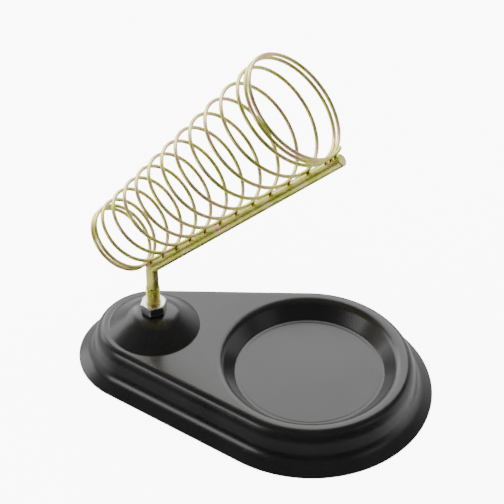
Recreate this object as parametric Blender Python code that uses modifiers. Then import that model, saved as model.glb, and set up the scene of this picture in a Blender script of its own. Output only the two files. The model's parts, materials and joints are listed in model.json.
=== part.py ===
"""Soldering iron stand: a pressed steel base with a dish for a sponge, and a wire cone on a bent rod.

Units are metres and +Z is up. The origin is on the table, under the middle of the base. The rod stands at
the narrow end, at -X, and the cone leans over the base towards +X.
"""

import math

import bmesh
import bpy
from mathutils import Matrix, Vector

MM = 0.001
CLEARANCE = 0.3 * MM  # between two pieces that touch, and around a thread in its hole
WELD_CLEARANCE = 0.12 * MM  # between the wire, the rod and the nuggets that join them

# Base: one pressed sheet. Its outline is two arcs and the two lines that join them.
SHEET = 0.8 * MM
NARROW_R = 32 * MM
WIDE_R = 52 * MM
CENTRES = 70 * MM
BASE_LENGTH = NARROW_R + CENTRES + WIDE_R
POST_OFFSET = 1.2 * MM  # how far the post stands from the narrow arc's centre, towards the dish
NARROW_X = NARROW_R - BASE_LENGTH / 2
DISH_X = NARROW_X + CENTRES
POST_X = NARROW_X + POST_OFFSET

# Rim of the base, from the outline inwards: a flat lip, a sloping skirt, a steep wall, a ledge and a step.
LIP_WIDTH = 0.6 * MM
SKIRT_WIDTH = 5.7 * MM
SKIRT_RISE = 3.8 * MM
WALL_WIDTH = 1.9 * MM
WALL_RISE = 7.65 * MM
LEDGE_WIDTH = 1.6 * MM
LEDGE_RISE = 0.25 * MM
STEP_WIDTH = 0.6 * MM
STEP_RISE = 4.1 * MM
DECK_Z = SHEET + SKIRT_RISE + WALL_RISE + LEDGE_RISE + STEP_RISE

# Dish for the sponge, pressed down into the deck.
DISH_FLOOR_R = 31.2 * MM
DISH_SLOPE = 7.3 * MM
DISH_DEPTH = 6.8 * MM

# Boss under the post, pressed up out of the deck.
BOSS_FOOT_R = 19.5 * MM
BOSS_TOP_R = 8.6 * MM
BOSS_RISE = 8.4 * MM
BOSS_TOP_Z = DECK_Z + BOSS_RISE

# Rod: a plain wire with a rolled thread at its foot, which stands a little proud of the wire.
ROD_R = 2.6 * MM
THREAD_R = 2.95 * MM
ROD_CHAMFER = 0.6 * MM
BEND_Z = 49.1 * MM
BEND_R = 4.5 * MM
ROD_PITCH = math.radians(43.2)
ROD_REACH = 109.0 * MM  # from the corner of the bend to the rod's upper end
THREAD_ABOVE_NUT = 9.0 * MM
THREAD_BELOW_NUT = 3.0 * MM

# Nuts and washers.
NUT_FLATS = 10.0 * MM
NUT_HEIGHT = 4.6 * MM
NUT_CHAMFER = math.radians(30)
WASHER_R = 6.0 * MM
WASHER_THICKNESS = 1.2 * MM
LOCK_R = 5.2 * MM
LOCK_THICKNESS = 1.2 * MM
LOCK_SPREAD = 0.35 * MM  # how far the split washer's two ends stand apart along the thread
LOCK_GAP = math.radians(16)

# Wire cone. It is wound right-handed, and its closed end turns lie nearly side by side.
WIRE_R = 0.75 * MM
CONE_START = -0.6 * MM  # along the rod from its corner to where the wire first crosses it
CONE_SMALL_R = 14.1 * MM
CONE_BIG_R = 23.0 * MM
CONE_TURNS = 14
CLOSED_PITCH = 2.3 * MM
CLOSED_TURNS_SMALL = 1.0
CLOSED_TURNS_BIG = 2.1
PITCH_CHANGE = 0.7  # turns over which the pitch opens or closes
OPEN_PITCH_SMALL = 7.5 * MM
OPEN_PITCH_BIG = 11.2 * MM
LEAN_SMALL = math.radians(4)  # how far round the rod each end sits, away from straight above
LEAN_BIG = math.radians(15)
LEAD_IN = 0.82  # turns of wire before it first crosses the rod
TAIL = 0.04  # turns of wire after it last crosses the rod

# Weld nuggets, in the corner between the wire and the rod.
NUGGET_ALONG_ROD = 0.38 * MM
NUGGET_ALONG_WIRE = 0.85 * MM
NUGGET_UP = 0.38 * MM

# How finely curves are divided.
NARROW_STEPS = 18
WIDE_STEPS = 32
DISH_STEPS = 48
BOSS_STEPS = 32
BORE_STEPS = 24
BEND_STEPS = 7
WIRE_STEPS_PER_TURN = 24

BLACK = ((0.012, 0.012, 0.013), 0.0, 0.28)
PASSIVATED = ((0.62, 0.52, 0.22), 1.0, 0.30)
ZINC = ((0.62, 0.63, 0.62), 1.0, 0.32)
WELD = ((0.20, 0.13, 0.05), 0.8, 0.55)


def start_scene():
    """Empties the scene, and makes one collection for the stand and one for its cutters."""
    for obj in list(bpy.data.objects):
        bpy.data.objects.remove(obj)
    made = []
    for name in ("soldering_iron_stand", "cutters"):
        collection = bpy.data.collections.new(name)
        bpy.context.scene.collection.children.link(collection)
        made.append(collection)
    return made


STAND, CUTTERS = start_scene()


def material(name, look):
    colour, metallic, roughness = look
    made = bpy.data.materials.new(name)
    made.use_nodes = True
    shader = made.node_tree.nodes["Principled BSDF"]
    shader.inputs["Base Color"].default_value = (*colour, 1.0)
    shader.inputs["Metallic"].default_value = metallic
    shader.inputs["Roughness"].default_value = roughness
    return made


def add_mesh(name, bm, look=None, place=(0, 0, 0)):
    """Puts a bmesh in the scene: as a part of the stand, or with no look as a hidden cutter."""
    mesh = bpy.data.meshes.new(name)
    bm.to_mesh(mesh)
    bm.free()
    obj = bpy.data.objects.new(name, mesh)
    obj.location = place
    if look is None:
        obj.hide_render = True
        obj.display_type = "WIRE"
        CUTTERS.objects.link(obj)
        return obj
    mesh.materials.append(material(name, look))
    mesh.shade_smooth()
    mesh.set_sharp_from_angle(angle=math.radians(30))
    STAND.objects.link(obj)
    return obj


def boolean(obj, cutter, operation):
    modifier = obj.modifiers.new(operation.lower(), "BOOLEAN")
    modifier.operation = operation
    modifier.object = cutter


def cylinder(radius, depth, steps, middle=(0, 0, 0)):
    bm = bmesh.new()
    bmesh.ops.create_cone(
        bm, cap_ends=True, segments=steps, radius1=radius, radius2=radius, depth=depth,
        matrix=Matrix.Translation(middle),
    )
    return bm


def rounded(corners):
    """Points along a profile. Each corner is (across, up, fillet radius, steps).

    A radius of 0 keeps the corner sharp.
    """
    points = []
    for i, (across, up, radius, steps) in enumerate(corners):
        here = Vector((across, up))
        if radius == 0 or i in (0, len(corners) - 1):
            points.append(here)
            continue
        back = (Vector(corners[i - 1][:2]) - here).normalized()
        ahead = (Vector(corners[i + 1][:2]) - here).normalized()
        half = back.angle(ahead) / 2
        centre = here + (back + ahead).normalized() * radius / math.sin(half)
        first = here + back * radius / math.tan(half) - centre
        last = here + ahead * radius / math.tan(half) - centre
        turn = first.angle_signed(last)
        for k in range(steps + 1):
            points.append(centre + Matrix.Rotation(-turn * k / steps, 2) @ first)
    return points


def rim_corners():
    """Corners of the rim's upper side, as (inset from the outline, height)."""
    skirt = LIP_WIDTH + SKIRT_WIDTH
    wall = skirt + WALL_WIDTH
    ledge = wall + LEDGE_WIDTH
    step = ledge + STEP_WIDTH
    ledge_z = SHEET + SKIRT_RISE + WALL_RISE
    return [
        (0, SHEET, 0, 0),
        (LIP_WIDTH, SHEET, 1.2 * MM, 2),
        (skirt, SHEET + SKIRT_RISE, 1.6 * MM, 2),
        (wall, ledge_z, 1.5 * MM, 4),
        (ledge, ledge_z + LEDGE_RISE, 0.4 * MM, 2),
        (step, DECK_Z, 2.0 * MM, 5),
        (step + 4 * MM, DECK_Z, 0, 0),
    ]


def dish_corners():
    """Corners of the dish's upper side, as (radius, height), from the deck down to its floor."""
    return [
        (DISH_FLOOR_R + DISH_SLOPE + 4 * MM, DECK_Z, 0, 0),
        (DISH_FLOOR_R + DISH_SLOPE, DECK_Z, 2.4 * MM, 4),
        (DISH_FLOOR_R, DECK_Z - DISH_DEPTH, 1.6 * MM, 3),
        (0, DECK_Z - DISH_DEPTH, 0, 0),
    ]


def boss_corners():
    """Corners of the boss's upper side, as (radius, height), from the deck up to the hole in its top."""
    return [
        (BOSS_FOOT_R + 4 * MM, DECK_Z, 0, 0),
        (BOSS_FOOT_R, DECK_Z, 2.2 * MM, 2),
        (BOSS_TOP_R, BOSS_TOP_Z, 4.0 * MM, 4),
        (THREAD_R + CLEARANCE, BOSS_TOP_Z, 0, 0),
    ]


def outline(inset):
    """The base's outline, moved inwards by inset, anticlockwise from above."""
    tilt = math.acos((NARROW_R - WIDE_R) / CENTRES)
    points = []
    for x, radius, start, end, steps in (
        (NARROW_X, NARROW_R - inset, tilt, 2 * math.pi - tilt, NARROW_STEPS),
        (DISH_X, WIDE_R - inset, -tilt, tilt, WIDE_STEPS),
    ):
        for k in range(steps + 1):
            angle = start + (end - start) * k / steps
            points.append((x + radius * math.cos(angle), radius * math.sin(angle)))
    return points


def circle(x, radius, steps):
    angles = [2 * math.pi * k / steps for k in range(steps)]
    return [(x + radius * math.cos(a), radius * math.sin(a)) for a in angles]


def loft(bm, loops):
    """Joins closed loops of points, each given as (points, height), with bands of faces."""
    rings = [[bm.verts.new((x, y, z)) for x, y in points] for points, z in loops]
    for low, high in zip(rings, rings[1:]):
        for i in range(len(low)):
            j = (i + 1) % len(low)
            bm.faces.new((low[i], low[j], high[j], high[i]))
    return rings


def loop_edges(bm, ring):
    return [bm.edges.get((ring[i], ring[(i + 1) % len(ring)])) for i in range(len(ring))]


def base_plate():
    """The upper side of the pressed sheet, given its thickness downwards."""
    bm = bmesh.new()
    rim = rounded(rim_corners())[:-1]
    dish = rounded(dish_corners())[1:-1]
    boss = rounded(boss_corners())[1:]
    rim_rings = loft(bm, [(outline(inset), z) for inset, z in rim])
    dish_rings = loft(bm, [(circle(DISH_X, r, DISH_STEPS), z) for r, z in dish])
    boss_rings = loft(bm, [(circle(POST_X, r, BOSS_STEPS), z) for r, z in boss])
    bm.faces.new(dish_rings[-1])
    edges = []
    for ring in (rim_rings[-1], dish_rings[0], boss_rings[0]):
        edges += loop_edges(bm, ring)
    bmesh.ops.triangle_fill(bm, edges=edges, use_beauty=True, use_dissolve=False, normal=(0, 0, 1))
    bmesh.ops.recalc_face_normals(bm, faces=bm.faces)
    if sum(face.normal.z * face.calc_area() for face in bm.faces) < 0:
        bmesh.ops.reverse_faces(bm, faces=bm.faces)
    plate = add_mesh("base_plate", bm, BLACK)
    shell = plate.modifiers.new("sheet", "SOLIDIFY")
    shell.thickness = SHEET
    shell.offset = -1
    shell.use_even_offset = True


def hex_nut(name, bottom):
    """A hexagon nut, chamfered at both ends, with its bore clear of the thread."""
    corner_r = NUT_FLATS / 2 / math.cos(math.pi / 6)
    middle = (POST_X, 0, bottom + NUT_HEIGHT / 2)
    nut = add_mesh(name, cylinder(corner_r, NUT_HEIGHT, 6), ZINC, middle)
    hole = cylinder(THREAD_R + CLEARANCE / 2, 2 * NUT_HEIGHT, BORE_STEPS)
    bore = add_mesh(name + "_bore", hole, None, middle)
    boolean(nut, bore, "DIFFERENCE")
    top_r = NUT_FLATS / 2
    drop = (corner_r - top_r) * math.tan(NUT_CHAMFER)
    bm = bmesh.new()
    half = NUT_HEIGHT / 2
    outer_r = corner_r + CLEARANCE
    profile = [(top_r, half), (outer_r, half - drop), (outer_r, drop - half), (top_r, -half)]
    rings = loft(bm, [(circle(0, r, BORE_STEPS), z) for r, z in profile])
    bm.faces.new(rings[0])
    bm.faces.new(reversed(rings[-1]))
    bmesh.ops.recalc_face_normals(bm, faces=bm.faces)
    boolean(nut, add_mesh(name + "_chamfer", bm, None, middle), "INTERSECT")
    return nut


def flat_washer(top):
    middle = (POST_X, 0, top - WASHER_THICKNESS / 2)
    washer = add_mesh("flat_washer", cylinder(WASHER_R, WASHER_THICKNESS, BORE_STEPS), ZINC, middle)
    hole = cylinder(THREAD_R + CLEARANCE, 2 * WASHER_THICKNESS, BORE_STEPS)
    bore = add_mesh("washer_bore", hole, None, middle)
    boolean(washer, bore, "DIFFERENCE")


def lock_washer(top):
    """A split spring washer: a square section turned almost once round, rising a little."""
    inner = THREAD_R + CLEARANCE
    low = top - LOCK_THICKNESS - LOCK_SPREAD
    bm = bmesh.new()
    corners = [(inner, low), (LOCK_R, low), (LOCK_R, low + LOCK_THICKNESS), (inner, low + LOCK_THICKNESS)]
    face = bm.faces.new([bm.verts.new((r, 0, z)) for r, z in corners])
    bmesh.ops.spin(
        bm, geom=[face, *face.edges, *face.verts], cent=(0, 0, 0), axis=(0, 0, 1),
        dvec=(0, 0, LOCK_SPREAD / BORE_STEPS), angle=2 * math.pi - LOCK_GAP, steps=BORE_STEPS,
    )
    bmesh.ops.recalc_face_normals(bm, faces=bm.faces)
    add_mesh("lock_washer", bm, ZINC, (POST_X, 0, 0))


def tube(name, points, depth, look, sides=2):
    """A wire along points, each given as (position, share of the wire's radius)."""
    curve = bpy.data.curves.new(name, "CURVE")
    curve.dimensions = "3D"
    curve.bevel_depth = depth
    curve.bevel_resolution = sides
    curve.use_fill_caps = True
    spline = curve.splines.new("POLY")
    spline.points.add(len(points) - 1)
    for point, (place, share) in zip(spline.points, points):
        point.co = (*place, 1)
        point.radius = share
    curve.materials.append(material(name, look))
    obj = bpy.data.objects.new(name, curve)
    STAND.objects.link(obj)
    return obj


ROD_AXIS = Vector((math.cos(ROD_PITCH), 0, math.sin(ROD_PITCH)))
CORNER = Vector((POST_X, 0, BEND_Z))


def post_rod(thread_foot, thread_top):
    """The rod's centreline: up through the base, round the bend, and up the slope."""
    turn = math.pi / 2 - ROD_PITCH
    tangent = BEND_R * math.tan(turn / 2)
    thread = THREAD_R / ROD_R
    chamfered = (ROD_R - ROD_CHAMFER) / ROD_R
    up = Vector((0, 0, 1))
    points = [
        (Vector((POST_X, 0, thread_foot)), chamfered),
        (Vector((POST_X, 0, thread_foot + ROD_CHAMFER + THREAD_R - ROD_R)), thread),
        (Vector((POST_X, 0, thread_top)), thread),
        (Vector((POST_X, 0, thread_top + ROD_CHAMFER)), 1),
    ]
    centre = CORNER - up * tangent + Vector((BEND_R, 0, 0))
    for k in range(BEND_STEPS + 1):
        angle = turn * k / BEND_STEPS
        points.append((centre + BEND_R * Vector((-math.cos(angle), 0, math.sin(angle))), 1))
    points.append((CORNER + ROD_AXIS * (ROD_REACH - ROD_CHAMFER), 1))
    points.append((CORNER + ROD_AXIS * ROD_REACH, chamfered))
    tube("post_rod", points, ROD_R, PASSIVATED, 4)


def smooth(x):
    x = min(max(x, 0), 1)
    return x * x * (3 - 2 * x)


def pitch(turn):
    """The cone's pitch after so many turns: open in the middle, closed at both ends."""
    share = turn / CONE_TURNS
    open_pitch = OPEN_PITCH_SMALL + (OPEN_PITCH_BIG - OPEN_PITCH_SMALL) * share
    after_start = turn - CLOSED_TURNS_SMALL
    before_end = CONE_TURNS - CLOSED_TURNS_BIG - turn
    opened = smooth(min(after_start, before_end) / PITCH_CHANGE + 0.5)
    return CLOSED_PITCH + (open_pitch - CLOSED_PITCH) * opened


def cone_stations():
    """[(turn, distance along the rod)] from the wire's first end to its last."""
    step = 1 / WIRE_STEPS_PER_TURN
    count = round((LEAD_IN + CONE_TURNS + TAIL) / step)
    first = -round(LEAD_IN / step)
    stations = [(first * step, CONE_START - LEAD_IN * CLOSED_PITCH)]
    for k in range(first + 1, first + count + 1):
        turn, along = stations[-1]
        stations.append((k * step, along + pitch(turn + step / 2) * step))
    return stations


STATIONS = cone_stations()
CONE_LENGTH = STATIONS[-1][1] - STATIONS[0][1]
CONE_TAPER = (CONE_BIG_R - CONE_SMALL_R) / CONE_LENGTH


def cone_frame(along):
    """The cone at a distance along the rod.

    Returns a point on the rod's axis, the way to the turn's middle, the way across the rod, and the radius.
    """
    share = (along - STATIONS[0][1]) / CONE_LENGTH
    radius = CONE_SMALL_R + (CONE_BIG_R - CONE_SMALL_R) * share
    up = Vector((-math.sin(ROD_PITCH), 0, math.cos(ROD_PITCH)))
    lean = LEAN_SMALL + (LEAN_BIG - LEAN_SMALL) * share
    out = Matrix.Rotation(lean, 3, -ROD_AXIS) @ up
    return CORNER + ROD_AXIS * along, out, out.cross(ROD_AXIS), radius


def on_wire(turn, along):
    """A point on the wire's centreline. Turn 0, 1, 2... are where it crosses the rod."""
    place, out, across, radius = cone_frame(along)
    angle = 2 * math.pi * turn
    lifted = ROD_R + WIRE_R + WELD_CLEARANCE + radius * (1 - math.cos(angle))
    back = CONE_TAPER * radius * (1 - math.cos(angle))
    return place + out * lifted + across * (radius * math.sin(angle)) - ROD_AXIS * back


def wire_cone():
    tube("wire_cone", [(on_wire(turn, along), 1) for turn, along in STATIONS], WIRE_R, PASSIVATED)


def weld_nuggets():
    """A nugget beside the wire wherever it crosses the rod."""
    number = 0
    size = Matrix.Diagonal((NUGGET_ALONG_ROD, NUGGET_ALONG_WIRE, NUGGET_UP, 1))
    for turn, along in STATIONS:
        if turn < -0.25 / WIRE_STEPS_PER_TURN or abs(turn - round(turn)) > 0.25 / WIRE_STEPS_PER_TURN:
            continue
        number += 1
        place, out, across, _ = cone_frame(along)
        middle = place + out * (ROD_R + NUGGET_UP + WELD_CLEARANCE)
        middle += ROD_AXIS * (WIRE_R + NUGGET_ALONG_ROD + WELD_CLEARANCE)
        turned = Matrix((ROD_AXIS, across, out)).transposed().to_4x4()
        bm = bmesh.new()
        bmesh.ops.create_uvsphere(
            bm, u_segments=8, v_segments=5, radius=1, matrix=Matrix.Translation(middle) @ turned @ size,
        )
        bmesh.ops.recalc_face_normals(bm, faces=bm.faces)
        add_mesh(f"weld_{number:02d}", bm, WELD)


def main():
    nut_bottom = BOSS_TOP_Z + CLEARANCE
    washer_top = BOSS_TOP_Z - SHEET - CLEARANCE
    lock_top = washer_top - WASHER_THICKNESS - CLEARANCE
    clamp_nut_top = lock_top - LOCK_THICKNESS - LOCK_SPREAD - CLEARANCE
    clamp_nut_bottom = clamp_nut_top - NUT_HEIGHT
    base_plate()
    post_rod(clamp_nut_bottom - THREAD_BELOW_NUT, nut_bottom + NUT_HEIGHT + THREAD_ABOVE_NUT)
    wire_cone()
    weld_nuggets()
    hex_nut("top_nut", nut_bottom)
    flat_washer(washer_top)
    lock_washer(lock_top)
    hex_nut("clamp_nut", clamp_nut_bottom)


main()
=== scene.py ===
"""The finished look of the soldering iron stand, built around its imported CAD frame.

Every visible piece is made again here, finer than in the frame, in the frame's own place: the pressed base
with its enamel, the rod with its rolled thread, the nuts and washers, and the wire cone with its spot welds.
Units are metres and +Z is up.
"""

import json
import math

import bmesh
import bpy
import numpy as np
from mathutils import Matrix, Vector, noise
from mathutils.geometry import delaunay_2d_cdt


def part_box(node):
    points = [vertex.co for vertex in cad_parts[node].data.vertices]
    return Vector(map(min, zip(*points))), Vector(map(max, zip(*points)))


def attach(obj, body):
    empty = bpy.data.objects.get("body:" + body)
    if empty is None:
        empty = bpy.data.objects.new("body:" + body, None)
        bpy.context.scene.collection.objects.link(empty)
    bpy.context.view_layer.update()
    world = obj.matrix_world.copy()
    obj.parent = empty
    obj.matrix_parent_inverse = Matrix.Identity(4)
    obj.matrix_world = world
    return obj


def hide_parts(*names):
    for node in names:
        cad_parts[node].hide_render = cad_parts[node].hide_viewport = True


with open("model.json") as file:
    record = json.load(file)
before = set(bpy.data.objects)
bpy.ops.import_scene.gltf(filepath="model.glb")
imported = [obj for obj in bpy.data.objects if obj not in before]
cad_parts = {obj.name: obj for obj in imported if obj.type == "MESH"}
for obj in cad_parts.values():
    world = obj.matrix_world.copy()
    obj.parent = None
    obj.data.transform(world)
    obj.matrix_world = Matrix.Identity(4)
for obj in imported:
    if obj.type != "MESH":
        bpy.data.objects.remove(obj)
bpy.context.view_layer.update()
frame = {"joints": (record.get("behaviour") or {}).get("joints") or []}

# The frame says where things are and how large they are.
BASE_LOW, BASE_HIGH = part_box("base_plate")
ROD_LOW, ROD_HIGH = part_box("post_rod")
MM = (BASE_HIGH.x - BASE_LOW.x) / 154  # the base is 154 mm long
SWIVEL = Vector(frame["joints"][0]["pos_m"])
POST_X = SWIVEL.x

# Base.
SHEET = 0.8 * MM
NARROW_R = 32 * MM
WIDE_R = 52 * MM
NARROW_X = BASE_LOW.x + NARROW_R
DISH_X = BASE_HIGH.x - WIDE_R
DECK_Z = 16.6 * MM
OUTLINE_STEPS = (64, 110)  # round the narrow end and the wide one
SKIRT_FILLET = 6.5 * MM
WALL_FILLET = 9.0 * MM
SHOULDER_FILLET = 3.7 * MM
# The shoulder, the dish's rim and the boss's foot all curve into one flat deck, and may not meet on it.
DECK_INSET = 10.1 * MM
DISH_RIM_FILLET = 4.8 * MM
BOSS_FOOT_FILLET = 1.5 * MM
DISH_FLOOR_R = 31.3 * MM
DISH_RIM_R = 37.0 * MM
DISH_FLOOR_Z = 9.8 * MM
GROOVE_WIDTH = 1.3 * MM
GROOVE_DEPTH = 0.07 * MM
GROOVE_FILLET = 0.9 * MM
DISH_STEPS = 192
BOSS_FOOT_R = 19.5 * MM
BOSS_TOP_R = 8.6 * MM
BOSS_TOP_Z = BASE_HIGH.z
BOSS_TOP_FILLET = 12.0 * MM
BOSS_STEPS = 128
PAST_CORNER = 4 * MM  # how far a profile runs on, so that its last fillet has a direction

# Rod and thread.
ROD_R = 2.6 * MM
ROD_SIDES = 56
ROD_CHAMFER = 0.35 * MM
THREAD_R = 2.95 * MM
THREAD_DEPTH = 0.55 * MM
THREAD_PITCH = 1.0 * MM
THREAD_GAP = 0.3 * MM  # between the thread and what it passes through
THREAD_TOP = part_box("top_nut")[1].z + 9 * MM
BEND_R = 4.5 * MM
ROD_PITCH = math.radians(43.2)
ROD_AXIS = Vector((math.cos(ROD_PITCH), 0, math.sin(ROD_PITCH)))
ROD_UP = Vector((-math.sin(ROD_PITCH), 0, math.cos(ROD_PITCH)))
ACROSS = Vector((0, 1, 0))
ROD_REACH = (ROD_HIGH.x - POST_X - ROD_R * math.sin(ROD_PITCH)) / math.cos(ROD_PITCH)
CORNER = Vector((POST_X, 0, ROD_HIGH.z - ROD_R * math.cos(ROD_PITCH) - ROD_REACH * math.sin(ROD_PITCH)))

# Wire cone, wound right-handed. Distances along the rod are counted from the corner of its bend.
WIRE_R = 0.75 * MM
WELD_SINK = 0.3 * MM  # how far the welds have sunk the wire into the rod
CONE_START = -0.6 * MM
CONE_SMALL_R = 14.1 * MM
CONE_BIG_R = 23.0 * MM
CONE_TURNS = 14
CLOSED_PITCH = 2.3 * MM
CLOSED_TURNS_SMALL = 1.0
CLOSED_TURNS_BIG = 2.1
PITCH_CHANGE = 0.7
OPEN_PITCH_SMALL = 7.5 * MM
OPEN_PITCH_BIG = 11.2 * MM
LEAN_SMALL = math.radians(4)
LEAN_BIG = math.radians(15)
LEAD_IN = 0.82
TAIL = 0.04
WIRE_STEPS = 120  # to each turn
WIRE_SIDES = 16
HEAT_AND_SHADE_SPREAD = 1.45 * MM  # how far from a weld the plating browns from heat and is darkened by painted shade

# Nuts and washers.
NUT_FLATS = 10 * MM
NUT_TURN = math.radians(37)
NUT_CHAMFER = math.radians(30)
ROUND_STEPS = 96

# Camera.
CAMERA_AIM = Vector((-25.0 * MM, 76.5 * MM, 0))
CAMERA_AZIMUTH = math.radians(17.94)
CAMERA_ELEVATION = math.radians(40.45)
CAMERA_DISTANCE = 785.7 * MM
CAMERA_LENS = 121.4


# ---------------------------------------------------------------- shader helpers


def new_material(name):
    material = bpy.data.materials.new(name)
    material.use_nodes = True
    return material, material.node_tree, material.node_tree.nodes["Principled BSDF"]


def add(tree, kind, inputs=None, **settings):
    """Adds a node. Each input is a value, or another node's output to link to it."""
    node = tree.nodes.new(kind)
    for name, value in settings.items():
        setattr(node, name, value)
    plug(tree, node, inputs or {})
    return node


def plug(tree, node, inputs):
    for name, value in inputs.items():
        if isinstance(value, bpy.types.NodeSocket):
            tree.links.new(value, node.inputs[name])
        else:
            node.inputs[name].default_value = value


def ramp(tree, factor, stops):
    """A colour ramp; each stop is (place, red, green, blue)."""
    node = add(tree, "ShaderNodeValToRGB", {"Fac": factor})
    elements = node.color_ramp.elements
    while len(elements) < len(stops):
        elements.new(0.5)
    for element, (place, *colour) in zip(elements, stops):
        element.position = place
        element.color = (*colour, 1)
    return node.outputs["Color"]


def remap(tree, value, low, high, to_low, to_high):
    inputs = {"Value": value, "From Min": low, "From Max": high, "To Min": to_low, "To Max": to_high}
    return add(tree, "ShaderNodeMapRange", inputs).outputs["Result"]


def blend(tree, factor, first, second, mode="MIX"):
    inputs = {0: factor, 6: first, 7: second}
    node = add(tree, "ShaderNodeMix", data_type="RGBA", blend_type=mode)
    for index, value in inputs.items():
        if isinstance(value, bpy.types.NodeSocket):
            tree.links.new(value, node.inputs[index])
        else:
            node.inputs[index].default_value = (*value, 1) if isinstance(value, tuple) else value
    return node.outputs[2]


def math_node(tree, operation, first, second=0.0):
    return add(tree, "ShaderNodeMath", {0: first, 1: second}, operation=operation).outputs[0]


def noise_of(tree, vector, scale, detail=2.0, roughness=0.5, distortion=0.0):
    inputs = {
        "Vector": vector, "Scale": scale, "Detail": detail, "Roughness": roughness, "Distortion": distortion,
    }
    return add(tree, "ShaderNodeTexNoise", inputs).outputs["Fac"]


def place_of(tree, stretch=(1, 1, 1)):
    """The point's place in the row frame, in metres, stretched for textures that run one way."""
    coordinates = add(tree, "ShaderNodeTexCoord").outputs["Object"]
    return add(tree, "ShaderNodeMapping", {"Vector": coordinates, "Scale": stretch}).outputs["Vector"]


def bump(tree, heights):
    """Bump from [(height, strength, distance)], each laid over the one before."""
    normal = None
    for height, strength, distance in heights:
        inputs = {"Height": height, "Strength": strength, "Distance": distance}
        if normal is not None:
            inputs["Normal"] = normal
        normal = add(tree, "ShaderNodeBump", inputs).outputs["Normal"]
    return normal


# ---------------------------------------------------------------- materials


def black_enamel():
    """Stoved black enamel: a slight orange peel, faint smears, fine hairlines and a few specks of dust."""
    material, tree, shader = new_material("black_enamel")
    place = place_of(tree)
    peel = noise_of(tree, place, 620, 2, 0.5)
    grain = noise_of(tree, place, 4200, 1, 0.5)
    smear = noise_of(tree, place, 38, 3, 0.55, 0.6)
    hairs = noise_of(tree, place_of(tree, (1400, 60, 300)), 1, 2, 0.5)
    hair = remap(tree, hairs, 0.70, 0.76, 0, 1)
    cells = add(tree, "ShaderNodeTexVoronoi", {"Vector": place, "Scale": 260, "Randomness": 1.0})
    speck = math_node(tree, "LESS_THAN", cells.outputs["Distance"], 0.045)
    chosen = add(tree, "ShaderNodeSeparateColor", {"Color": cells.outputs["Color"]}).outputs["Red"]
    speck = math_node(tree, "MULTIPLY", speck, math_node(tree, "GREATER_THAN", chosen, 0.9))
    colour = ramp(tree, smear, [(0.3, 0.0012, 0.0012, 0.0013), (0.7, 0.0024, 0.0024, 0.0025)])
    colour = blend(tree, math_node(tree, "MULTIPLY", hair, 0.10), colour, (0.05, 0.05, 0.05))
    colour = blend(tree, math_node(tree, "MULTIPLY", speck, 0.5), colour, (0.16, 0.15, 0.14))
    rough = remap(tree, smear, 0.3, 0.7, 0.27, 0.34)
    rough = math_node(tree, "ADD", rough, remap(tree, grain, 0.3, 0.7, -0.02, 0.02))
    rough = math_node(tree, "ADD", rough, math_node(tree, "MULTIPLY", speck, 0.3))
    normal = bump(tree, [(peel, 0.09, 0.05 * MM), (grain, 0.03, 0.006 * MM), (hair, 0.05, 0.01 * MM)])
    plug(tree, shader, {
        "Base Color": colour, "Roughness": rough, "Normal": normal, "IOR": 1.52,
        "Coat Weight": 0.25, "Coat Roughness": 0.16,
    })
    return material


def yellow_passivate(name, streak, tint=0.0):
    """Zinc with a yellow passivate: gold drifting into green and rose, drawn lines, brown from heat at each
    weld, going near black as painted shade where the wire meets the rod.

    streak is how finely the lines run round the wire, which has a UV map of (metres along, turns round)."""
    material, tree, shader = new_material(name)
    place = place_of(tree)
    drift = noise_of(tree, place, 75, 3, 0.55, 1.2)
    film = noise_of(tree, place, 340, 3, 0.6, 0.8)
    broad = math_node(tree, "MULTIPLY", drift, 0.72)
    shade = math_node(tree, "ADD", broad, math_node(tree, "MULTIPLY", film, 0.28))
    shade = math_node(tree, "ADD", shade, tint)
    colour = ramp(tree, shade, [
        (0.32, 0.46, 0.56, 0.09), (0.41, 0.66, 0.66, 0.12), (0.48, 0.84, 0.78, 0.24),
        (0.54, 0.88, 0.76, 0.34), (0.60, 0.86, 0.50, 0.33), (0.70, 0.58, 0.62, 0.15),
    ])
    uv = add(tree, "ShaderNodeUVMap", uv_map="along").outputs["UV"]
    lines = add(tree, "ShaderNodeMapping", {"Vector": uv, "Scale": (90, streak, 1)}).outputs["Vector"]
    drawn = noise_of(tree, lines, 1, 3, 0.6)
    grain = noise_of(tree, place, 5200, 2, 0.6)
    # Round each weld: the straw brown is heat tint, and the near black laid over it is painted shade where
    # the wire meets the rod.
    heat = add(tree, "ShaderNodeAttribute", attribute_name="heat").outputs["Fac"]
    edge = math_node(tree, "MULTIPLY", heat, remap(tree, film, 0.3, 0.7, 0.7, 1.2))
    straw = remap(tree, edge, 0.10, 0.50, 0, 0.8)
    burnt_and_painted_shade = remap(tree, edge, 0.45, 0.85, 0, 1)
    colour = blend(tree, straw, colour, (0.34, 0.20, 0.05))
    colour = blend(tree, burnt_and_painted_shade, colour, (0.035, 0.022, 0.012))
    rough = remap(tree, drawn, 0.3, 0.7, 0.24, 0.36)
    rough = math_node(tree, "ADD", rough, math_node(tree, "MULTIPLY", burnt_and_painted_shade, 0.3))
    normal = bump(tree, [(drawn, 0.25, 0.03 * MM), (grain, 0.12, 0.01 * MM)])
    plug(tree, shader, {
        "Base Color": colour, "Roughness": rough, "Normal": normal,
        "Metallic": remap(tree, burnt_and_painted_shade, 0, 1, 0.97, 0.5),
    })
    return material


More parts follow.
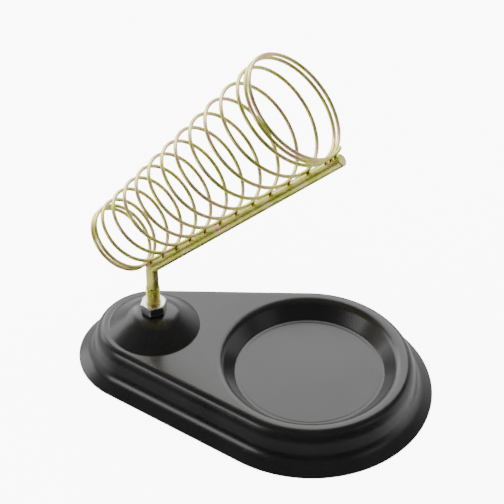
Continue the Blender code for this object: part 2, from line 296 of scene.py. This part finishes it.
def bright_zinc():
    """Clear zinc plate on turned steel: fine marks round the axis, and a few duller patches."""
    material, tree, shader = new_material("bright_zinc")
    marks = noise_of(tree, place_of(tree, (120, 120, 3200)), 1, 3, 0.6)
    patch = noise_of(tree, place_of(tree), 320, 3, 0.6)
    grain = noise_of(tree, place_of(tree), 3600, 2, 0.6)
    colour = ramp(tree, patch, [
        (0.30, 0.74, 0.75, 0.76), (0.50, 0.84, 0.85, 0.86), (0.70, 0.88, 0.87, 0.85),
    ])
    turned = remap(tree, marks, 0.3, 0.7, 0.20, 0.28)
    rough = math_node(tree, "ADD", turned, remap(tree, patch, 0.3, 0.7, 0.05, 0))
    normal = bump(tree, [(marks, 0.04, 0.01 * MM), (grain, 0.02, 0.005 * MM)])
    plug(tree, shader, {"Base Color": colour, "Roughness": rough, "Metallic": 1.0, "Normal": normal})
    return material


def weld_metal():
    """Burnt, lumpy weld metal with a scale that is brown at its edges."""
    material, tree, shader = new_material("weld_metal")
    lumps = noise_of(tree, place_of(tree), 1500, 3, 0.6)
    colour = ramp(tree, lumps, [
        (0.35, 0.035, 0.022, 0.012), (0.52, 0.11, 0.07, 0.028), (0.68, 0.34, 0.25, 0.09),
    ])
    rough = remap(tree, lumps, 0.3, 0.7, 0.65, 0.4)
    normal = bump(tree, [(lumps, 0.5, 0.08 * MM)])
    plug(tree, shader, {"Base Color": colour, "Roughness": rough, "Metallic": 0.75, "Normal": normal})
    return material


def pale_floor():
    material, tree, shader = new_material("pale_floor")
    tone = noise_of(tree, place_of(tree), 6, 2)
    colour = ramp(tree, tone, [(0.3, 0.86, 0.86, 0.86), (0.7, 0.88, 0.88, 0.88)])
    plug(tree, shader, {
        "Base Color": colour, "Roughness": 0.9, "Specular IOR Level": 0.1,
        "Emission Color": colour, "Emission Strength": 9.0,
    })
    return material


# ---------------------------------------------------------------- mesh helpers


def finish_mesh(name, bm, material, body, stands_for, sharp=35):
    """Makes the bmesh a smooth-shaded piece that rides on a body and stands for CAD nodes."""
    bmesh.ops.recalc_face_normals(bm, faces=bm.faces)
    mesh = bpy.data.meshes.new(name)
    bm.to_mesh(mesh)
    bm.free()
    mesh.materials.append(material)
    mesh.shade_smooth()
    mesh.set_sharp_from_angle(angle=math.radians(sharp))
    obj = bpy.data.objects.new(name, mesh)
    bpy.context.scene.collection.objects.link(obj)
    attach(obj, body)
    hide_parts(*stands_for)
    return obj


def rounded(corners):
    """Points along a profile. Each corner is (across, up, fillet radius, steps).

    A radius of 0 keeps the corner sharp.
    """
    points = []
    for i, (across, up, radius, steps) in enumerate(corners):
        here = Vector((across, up))
        if radius == 0 or i in (0, len(corners) - 1):
            points.append(here)
            continue
        back = (Vector(corners[i - 1][:2]) - here).normalized()
        ahead = (Vector(corners[i + 1][:2]) - here).normalized()
        half = back.angle(ahead) / 2
        centre = here + (back + ahead).normalized() * radius / math.sin(half)
        first = here + back * radius / math.tan(half) - centre
        last = here + ahead * radius / math.tan(half) - centre
        turn = first.angle_signed(last)
        for k in range(steps + 1):
            points.append(centre + Matrix.Rotation(-turn * k / steps, 2) @ first)
    return points


def outline(inset):
    """The base's outline, moved inwards by inset, anticlockwise from above."""
    tilt = math.acos((NARROW_R - WIDE_R) / (DISH_X - NARROW_X))
    points = []
    for x, radius, start, end, steps in (
        (NARROW_X, NARROW_R - inset, tilt, 2 * math.pi - tilt, OUTLINE_STEPS[0]),
        (DISH_X, WIDE_R - inset, -tilt, tilt, OUTLINE_STEPS[1]),
    ):
        for k in range(steps + 1):
            angle = start + (end - start) * k / steps
            points.append((x + radius * math.cos(angle), radius * math.sin(angle)))
    return points


def circle(x, radius, steps):
    angles = [2 * math.pi * k / steps for k in range(steps)]
    return [(x + radius * math.cos(a), radius * math.sin(a)) for a in angles]


def loft(bm, rings, closed=False):
    """Joins rings of points with bands of faces, and the last ring to the first if closed."""
    rings = [[bm.verts.new(point) for point in ring] for ring in rings]
    following = rings[1:] + rings[:1] if closed else rings[1:]
    for low, high in zip(rings, following):
        for i in range(len(low)):
            j = (i + 1) % len(low)
            bm.faces.new((low[i], low[j], high[j], high[i]))
    return rings


def at_height(points, z):
    return [(x, y, z) for x, y in points]


def fill_deck(bm, rings, holes):
    """Fills the flat deck inside the first ring, leaving its holes, each (x, radius), open."""
    verts = [vert for ring in rings for vert in ring]
    edges = []
    for ring in rings:
        first = len(edges)
        edges += [(first + k, first + (k + 1) % len(ring)) for k in range(len(ring))]
    points = [vert.co.to_2d() for vert in verts]
    inside_only, tolerance = 1, 1e-7
    _, _, triangles, sources, _, _ = delaunay_2d_cdt(points, edges, [], inside_only, tolerance)
    for triangle in triangles:
        corners = [verts[sources[k][0]] for k in triangle]
        middle = sum((corner.co.to_2d() for corner in corners), Vector((0, 0))) / 3
        if all((middle - Vector((x, 0))).length > radius for x, radius in holes):
            bm.faces.new(corners)


def tube(bm, stations, sides, radius_at, marks):
    """A capped tube. Each station is (centre, first axis, second axis, distance along).
    radius_at(station number, angle) gives its radius. marks holds the places that welding has browned, where
    painted shade also darkens the wire and rod."""
    along_uv = bm.loops.layers.uv.new("along")
    heat = bm.verts.layers.float.new("heat")
    rings = []
    for number, (centre, first, second, _) in enumerate(stations):
        ring = []
        for k in range(sides):
            angle = 2 * math.pi * k / sides
            out = first * math.cos(angle) + second * math.sin(angle)
            ring.append(bm.verts.new(centre + out * radius_at(number, angle)))
        rings.append(ring)
    for number, (low, high) in enumerate(zip(rings, rings[1:])):
        for k in range(sides):
            j = (k + 1) % sides
            face = bm.faces.new((low[k], low[j], high[j], high[k]))
            corners = ((number, k), (number, k + 1), (number + 1, k + 1), (number + 1, k))
            for loop, (station, turn) in zip(face.loops, corners):
                loop[along_uv].uv = (stations[station][3], turn / sides)
    bm.faces.new(rings[0])
    bm.faces.new(rings[-1])
    points = np.array([vert.co for vert in bm.verts])
    nearest = np.full(len(points), 1.0)
    for mark in marks:
        nearest = np.minimum(nearest, np.linalg.norm(points - np.array(mark), axis=1))
    # Nearness to a weld, which drives both the heat tint and the painted shade there.
    for vert, distance in zip(bm.verts, nearest):
        vert[heat] = math.exp(-(distance / HEAT_AND_SHADE_SPREAD) ** 2)


# ---------------------------------------------------------------- base


def rim_corners():
    """The rim's upper side as (inset from the outline, height, fillet, steps), from cut edge to deck."""
    return [
        (0, SHEET - 0.25 * MM, 0, 0),
        (0.3 * MM, SHEET, 0.2 * MM, 4),
        (6.2 * MM, 4.5 * MM, SKIRT_FILLET, 18),
        (8.0 * MM, 13.2 * MM, WALL_FILLET, 22),
        (DECK_INSET, DECK_Z, SHOULDER_FILLET, 26),
        (DECK_INSET + PAST_CORNER, DECK_Z, 0, 0),
    ]


def dish_corners():
    """The dish as (radius, height, fillet, steps), from the deck down to a floor with a groove round it."""
    return [
        (DISH_RIM_R + PAST_CORNER, DECK_Z, 0, 0),
        (DISH_RIM_R, DECK_Z, DISH_RIM_FILLET, 20),
        (DISH_FLOOR_R, DISH_FLOOR_Z - GROOVE_DEPTH, GROOVE_FILLET, 8),
        (DISH_FLOOR_R - GROOVE_WIDTH, DISH_FLOOR_Z - GROOVE_DEPTH, GROOVE_FILLET, 6),
        (DISH_FLOOR_R - GROOVE_WIDTH - 0.5 * MM, DISH_FLOOR_Z, GROOVE_FILLET, 6),
        (0, DISH_FLOOR_Z, 0, 0),
    ]


def boss_corners():
    """The boss as (radius, height, fillet, steps), from the deck up to the hole in its top."""
    return [
        (BOSS_FOOT_R + PAST_CORNER, DECK_Z, 0, 0),
        (BOSS_FOOT_R, DECK_Z, BOSS_FOOT_FILLET, 8),
        (BOSS_TOP_R, BOSS_TOP_Z, BOSS_TOP_FILLET, 24),
        (THREAD_R + THREAD_GAP, BOSS_TOP_Z, 0, 0),
    ]


def base(enamel):
    """The pressed sheet. Its upper side is lofted, then given a thickness and a softened cut edge."""
    bm = bmesh.new()
    rim = rounded(rim_corners())[:-1]
    dish = rounded(dish_corners())[1:-1]
    boss = rounded(boss_corners())[1:]
    rim_rings = loft(bm, [at_height(outline(inset), z) for inset, z in rim])
    dish_rings = loft(bm, [at_height(circle(DISH_X, r, DISH_STEPS), z) for r, z in dish])
    boss_rings = loft(bm, [at_height(circle(POST_X, r, BOSS_STEPS), z) for r, z in boss])
    bm.faces.new(dish_rings[-1])
    holes = ((DISH_X, dish[0][0]), (POST_X, boss[0][0]))
    fill_deck(bm, (rim_rings[-1], dish_rings[0], boss_rings[0]), holes)
    piece = finish_mesh("pressed_base", bm, enamel, "base", ["base_plate"], sharp=60)
    if sum(face.normal.z * face.area for face in piece.data.polygons) < 0:
        piece.data.flip_normals()
    shell = piece.modifiers.new("sheet", "SOLIDIFY")
    shell.thickness = SHEET
    shell.offset = -1
    shell.use_even_offset = True
    soften = piece.modifiers.new("cut_edge", "BEVEL")
    soften.width = 0.12 * MM
    soften.segments = 2
    soften.limit_method = "ANGLE"
    soften.angle_limit = math.radians(50)
    return piece


# ---------------------------------------------------------------- cone


def smooth(x):
    x = min(max(x, 0), 1)
    return x * x * (3 - 2 * x)


def pitch(turn):
    """The cone's pitch after so many turns: open in the middle, closed at both ends."""
    open_pitch = OPEN_PITCH_SMALL + (OPEN_PITCH_BIG - OPEN_PITCH_SMALL) * turn / CONE_TURNS
    after_start = turn - CLOSED_TURNS_SMALL
    before_end = CONE_TURNS - CLOSED_TURNS_BIG - turn
    opened = smooth(min(after_start, before_end) / PITCH_CHANGE + 0.5)
    return CLOSED_PITCH + (open_pitch - CLOSED_PITCH) * opened


def cone_turns():
    """[(turn, distance along the rod)] from the wire's first end to its last."""
    step = 1 / WIRE_STEPS
    first = -round(LEAD_IN / step)
    last = round((CONE_TURNS + TAIL) / step)
    turns = [(first * step, CONE_START - LEAD_IN * CLOSED_PITCH)]
    for k in range(first + 1, last + 1):
        turn, along = turns[-1]
        turns.append((k * step, along + pitch(turn + step / 2) * step))
    return turns


TURNS = cone_turns()
CONE_LENGTH = TURNS[-1][1] - TURNS[0][1]
CONE_TAPER = (CONE_BIG_R - CONE_SMALL_R) / CONE_LENGTH


def cone_frame(along):
    """At a distance along the rod: its axis point, the ways to the turn's middle and across, the radius."""
    share = (along - TURNS[0][1]) / CONE_LENGTH
    radius = CONE_SMALL_R + (CONE_BIG_R - CONE_SMALL_R) * share
    lean = LEAN_SMALL + (LEAN_BIG - LEAN_SMALL) * share
    out = Matrix.Rotation(lean, 3, -ROD_AXIS) @ ROD_UP
    return CORNER + ROD_AXIS * along, out, out.cross(ROD_AXIS), radius


def on_wire(turn, along):
    """A point on the wire's centreline. Turn 0, 1, 2... are where it crosses the rod."""
    place, out, across, radius = cone_frame(along)
    angle = 2 * math.pi * turn
    lifted = ROD_R + WIRE_R - WELD_SINK + radius * (1 - math.cos(angle))
    back = CONE_TAPER * radius * (1 - math.cos(angle))
    return place + out * lifted + across * (radius * math.sin(angle)) - ROD_AXIS * back


def crossings():
    """[(distance along the rod, place of the weld)] wherever the wire crosses the rod."""
    found = []
    for turn, along in TURNS:
        if turn > -0.25 / WIRE_STEPS and abs(turn - round(turn)) < 0.25 / WIRE_STEPS:
            place, out, _, _ = cone_frame(along)
            found.append((along, place + out * ROD_R))
    return found


def wire_cone(passivate):
    points = [on_wire(turn, along) for turn, along in TURNS]
    stations = []
    length = 0
    for i, point in enumerate(points):
        ahead = points[min(i + 1, len(points) - 1)]
        behind = points[max(i - 1, 0)]
        tangent = (ahead - behind).normalized()
        length += (point - behind).length
        first = (tangent.cross(ROD_AXIS)).normalized()
        stations.append((point, first, tangent.cross(first), length))
    last = len(stations) - 1

    def radius_at(number, angle):
        return WIRE_R * (0.82 if number in (0, last) else 1)

    bm = bmesh.new()
    tube(bm, stations, WIRE_SIDES, radius_at, [place for _, place in crossings()])
    return finish_mesh("cone_wire", bm, passivate, "holder", ["wire_cone"])


def weld_beads(metal):
    """A small burnt lump where each turn is fused to the rod, with metal pressed out to both sides."""
    for number, (along, place) in enumerate(crossings(), 1):
        _, out, across, _ = cone_frame(along)
        bm = bmesh.new()
        share = 0.9 + 0.22 * noise.noise(Vector((number * 1.7, 0.4, 0)))
        for side, size, round_rod in ((-1, 0.95, 14), (1, 0.8, -14), (0.2, 0.8, -40)):
            spun = Matrix.Rotation(math.radians(round_rod), 3, -ROD_AXIS)
            turned = Matrix((ROD_AXIS, spun @ across, spun @ out)).transposed().to_4x4()
            middle = place + (spun @ out - out) * ROD_R + ROD_AXIS * side * 0.62 * MM
            size *= share
            shape = Matrix.Diagonal((0.52 * size * MM, 1.05 * size * MM, 0.42 * size * MM, 1))
            made = bmesh.ops.create_icosphere(
                bm, subdivisions=4, radius=1, matrix=Matrix.Translation(middle) @ turned @ shape,
            )
            for vert in made["verts"]:
                rough = noise.noise(vert.co / (0.55 * MM)) * 0.16 * MM
                vert.co += (vert.co - middle).normalized() * rough
        finish_mesh(f"bead_{number:02d}", bm, metal, "holder", [f"weld_{number:02d}"], sharp=80)


# ---------------------------------------------------------------- rod, nuts and washers


def rod_stations():
    """The rod's centreline as tube stations, and how many of the first ones are threaded."""
    foot = ROD_LOW.z
    turn = math.pi / 2 - ROD_PITCH
    tangent = BEND_R * math.tan(turn / 2)
    up = Vector((0, 0, 1))
    side = Vector((1, 0, 0))
    rows = round((THREAD_TOP - foot) / THREAD_PITCH * 10)
    stations = []
    for k in range(rows + 1):
        z = foot + (THREAD_TOP - foot) * k / rows
        stations.append((Vector((POST_X, 0, z)), side, ACROSS, z - foot))
    threaded = len(stations)
    bend_foot = CORNER - up * tangent
    for k in range(1, 7):
        z = THREAD_TOP + (bend_foot.z - THREAD_TOP) * k / 6
        stations.append((Vector((POST_X, 0, z)), side, ACROSS, z - foot))
    centre = bend_foot + side * BEND_R
    for k in range(1, 25):
        angle = turn * k / 24
        out = Vector((-math.cos(angle), 0, math.sin(angle)))
        stations.append((centre + out * BEND_R, -out, ACROSS, bend_foot.z - foot + BEND_R * angle))
    arc_end = stations[-1][3]
    straight = ROD_REACH - tangent
    distances = [straight * k / 220 for k in range(1, 220)] + [straight - ROD_CHAMFER, straight]
    for distance in distances:
        point = CORNER + ROD_AXIS * (tangent + distance)
        stations.append((point, -ROD_UP, ACROSS, arc_end + distance))
    return stations, threaded


def post(passivate):
    """The rod, with a helical thread on its foot that runs out into the plain wire."""
    stations, threaded = rod_stations()
    last = len(stations) - 1
    thread_length = stations[threaded - 1][3]

    def radius_at(number, angle):
        if number == last:
            return ROD_R - ROD_CHAMFER
        if number >= threaded:
            return ROD_R
        along = stations[number][3]
        phase = (along / THREAD_PITCH - angle / (2 * math.pi)) % 1
        crest = smooth(1.9 - abs(phase - 0.5) * 5.2)
        depth = THREAD_DEPTH * smooth((thread_length - along) / (2.2 * THREAD_PITCH))
        end = smooth(along / (1.2 * THREAD_PITCH))
        full = ROD_R + (THREAD_R - ROD_R) * smooth((thread_length - along) / (1.2 * THREAD_PITCH))
        return full - depth * (1 - crest) - (1 - end) * 0.5 * MM

    bm = bmesh.new()
    tube(bm, stations, ROD_SIDES, radius_at, [place for _, place in crossings()])
    return finish_mesh("bent_rod", bm, passivate, "holder", ["post_rod"], sharp=42)


def lathe(name, profile_at, material, body, stands_for):
    """A ring whose section may change round it. profile_at(angle) gives its (radius, height) points."""
    bm = bmesh.new()
    sections = []
    for k in range(ROUND_STEPS):
        angle = 2 * math.pi * k / ROUND_STEPS
        way = Vector((math.cos(angle), math.sin(angle), 0))
        centre = Vector((POST_X, 0, 0))
        sections.append([centre + way * radius + Vector((0, 0, z)) for radius, z in profile_at(angle)])
    loft(bm, sections, closed=True)
    return finish_mesh(name, bm, material, body, stands_for, sharp=24)


def hex_nut(name, node, zinc, turn):
    """A hexagon nut with a chamfer at both ends and a countersunk thread."""
    low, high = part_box(node)
    bottom, top = low.z, high.z
    chamfer_r = NUT_FLATS / 2 * 0.985
    bore = THREAD_R - THREAD_DEPTH * 0.6
    mouth = THREAD_R + 0.2 * MM

    def profile_at(angle):
        from_flat = (angle - turn + math.pi / 6) % (math.pi / 3) - math.pi / 6
        corner = math.pi / 6 - abs(from_flat)
        hexagon = NUT_FLATS / 2 / math.cos(corner)
        soft = min(hexagon, NUT_FLATS / 2 / math.cos(math.pi / 6) - 0.08 * MM)
        drop = max(soft - chamfer_r, 0) * math.tan(NUT_CHAMFER)
        return [
            (bore, bottom + 0.6 * MM), (mouth, bottom + 0.02 * MM), (mouth + 0.12 * MM, bottom),
            (chamfer_r - 0.05 * MM, bottom), (soft - 0.05 * MM, bottom + drop),
            (soft, bottom + drop + 0.06 * MM), (soft, top - drop - 0.06 * MM),
            (soft - 0.05 * MM, top - drop), (chamfer_r - 0.05 * MM, top),
            (mouth + 0.12 * MM, top), (mouth, top - 0.02 * MM), (bore, top - 0.6 * MM),
        ]

    return lathe(name, profile_at, zinc, "holder", [node])


def flat_washer(zinc):
    low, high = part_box("flat_washer")
    outer = (high.x - low.x) / 2
    inner = THREAD_R + THREAD_GAP
    edge = 0.12 * MM
    burr = 0.18 * MM
    section = [
        (inner, low.z + edge), (inner + edge, low.z), (outer - burr, low.z), (outer, low.z + burr),
        (outer, high.z - edge), (outer - edge, high.z), (inner + edge, high.z), (inner, high.z - edge),
    ]
    return lathe("plain_washer", lambda angle: section, zinc, "holder", ["flat_washer"])


def lock_washer(zinc):
    """A split spring washer: a squared section turned almost once round, rising a little as it goes."""
    low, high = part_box("lock_washer")
    outer = (high.x - low.x) / 2
    inner = THREAD_R + THREAD_GAP
    thickness = 1.2 * MM
    spread = high.z - low.z - thickness
    gap = math.radians(16)
    soft = 0.1 * MM
    corners = [
        (inner, soft), (inner + soft, 0), (outer - soft, 0), (outer, soft),
        (outer, thickness - soft), (outer - soft, thickness),
        (inner + soft, thickness), (inner, thickness - soft),
    ]
    bm = bmesh.new()
    sections = []
    for k in range(ROUND_STEPS + 1):
        share = k / ROUND_STEPS
        angle = (2 * math.pi - gap) * share
        way = Vector((math.cos(angle), math.sin(angle), 0))
        centre = Vector((POST_X, 0, low.z + spread * share))
        sections.append([centre + way * radius + Vector((0, 0, z)) for radius, z in corners])
    rings = loft(bm, sections)
    bm.faces.new(rings[0])
    bm.faces.new(rings[-1])
    return finish_mesh("spring_washer", bm, zinc, "holder", ["lock_washer"])


# ---------------------------------------------------------------- studio


def floor():
    bm = bmesh.new()
    bmesh.ops.create_circle(bm, cap_ends=True, segments=96, radius=0.9)
    mesh = bpy.data.meshes.new("floor")
    bm.to_mesh(mesh)
    bm.free()
    mesh.materials.append(pale_floor())
    obj = bpy.data.objects.new("floor", mesh)
    obj.location.z = -0.05 * MM
    obj.visible_glossy = False
    bpy.context.scene.collection.objects.link(obj)


def area_light(name, place, aim, size, radiance, glossy=True):
    """A softbox at place, turned to aim. Its power follows from its size and how bright its face is."""
    light = bpy.data.lights.new(name, "AREA")
    light.shape = "RECTANGLE"
    light.size, light.size_y = size
    light.energy = radiance * math.pi * size[0] * size[1]
    obj = bpy.data.objects.new(name, light)
    obj.location = place
    obj.rotation_euler = (Vector(aim) - Vector(place)).to_track_quat("-Z", "Y").to_euler()
    obj.visible_glossy = glossy
    bpy.context.scene.collection.objects.link(obj)


def surroundings():
    """The room seen in reflections: white low down and behind, dark on the camera's side and overhead."""
    world = bpy.data.worlds.new("studio")
    world.use_nodes = True
    tree = world.node_tree
    way = add(tree, "ShaderNodeTexCoord").outputs["Generated"]
    height = add(tree, "ShaderNodeSeparateXYZ", {"Vector": way}).outputs["Z"]
    nearer = (math.sin(CAMERA_AZIMUTH), -math.cos(CAMERA_AZIMUTH), 0)
    front = add(tree, "ShaderNodeVectorMath", {0: way, 1: nearer}, operation="DOT_PRODUCT").outputs["Value"]
    light = blend(tree, remap(tree, front, -0.1, 0.4, 0, 1), (1.0, 1.0, 1.0), (0.015, 0.015, 0.015))
    light = blend(tree, remap(tree, height, 0.25, 0.5, 0, 1), light, (0.16, 0.16, 0.16))
    light = blend(tree, remap(tree, height, -0.59, -0.40, 1, 0), light, (1.0, 1.0, 0.98))
    plug(tree, tree.nodes["Background"], {"Color": light})
    bpy.context.scene.world = world


def studio():
    """Five lights.

    A large softbox behind and above, whose mirror image fills the deck. One at the front left, which draws
    the bright line along the rim's shoulder. One at the left and a weak one at the right, for its ends.
    A fill from above, which reflections don't show.
    """
    area_light("back_softbox", (-0.30, 0.95, 0.85), (0, 0, 0), (1.5, 1.0), 3.4)
    area_light("front_left_softbox", (-0.85, -0.87, 0.50), (0, 0, 0.02), (0.60, 0.42), 4.0)
    area_light("left_softbox", (-1.0, 0.45, 0.55), (0, 0, 0.05), (0.9, 0.6), 3.1)
    area_light("right_softbox", (1.05, -0.2, 0.6), (0, 0, 0.05), (0.5, 0.45), 0.5)
    area_light("top_fill", (0, -0.1, 1.4), (0, 0, 0), (1.6, 1.6), 5, glossy=False)
    surroundings()


def camera():
    level = CAMERA_DISTANCE * math.cos(CAMERA_ELEVATION)
    offset = Vector((
        level * math.sin(CAMERA_AZIMUTH),
        -level * math.cos(CAMERA_AZIMUTH),
        CAMERA_DISTANCE * math.sin(CAMERA_ELEVATION),
    ))
    data = bpy.data.cameras.new("camera")
    data.lens = CAMERA_LENS
    data.clip_start = 0.01
    obj = bpy.data.objects.new("camera", data)
    obj.location = CAMERA_AIM + offset
    obj.rotation_euler = (-offset).to_track_quat("-Z", "Y").to_euler()
    bpy.context.scene.collection.objects.link(obj)
    bpy.context.scene.camera = obj


def main():
    zinc = bright_zinc()
    base(black_enamel())
    post(yellow_passivate("rod_passivate", 26, -0.05))
    wire_cone(yellow_passivate("wire_passivate", 9))
    weld_beads(weld_metal())
    hex_nut("upper_nut", "top_nut", zinc, NUT_TURN)
    hex_nut("lower_nut", "clamp_nut", zinc, 0)
    flat_washer(zinc)
    lock_washer(zinc)
    floor()
    studio()
    camera()


main()
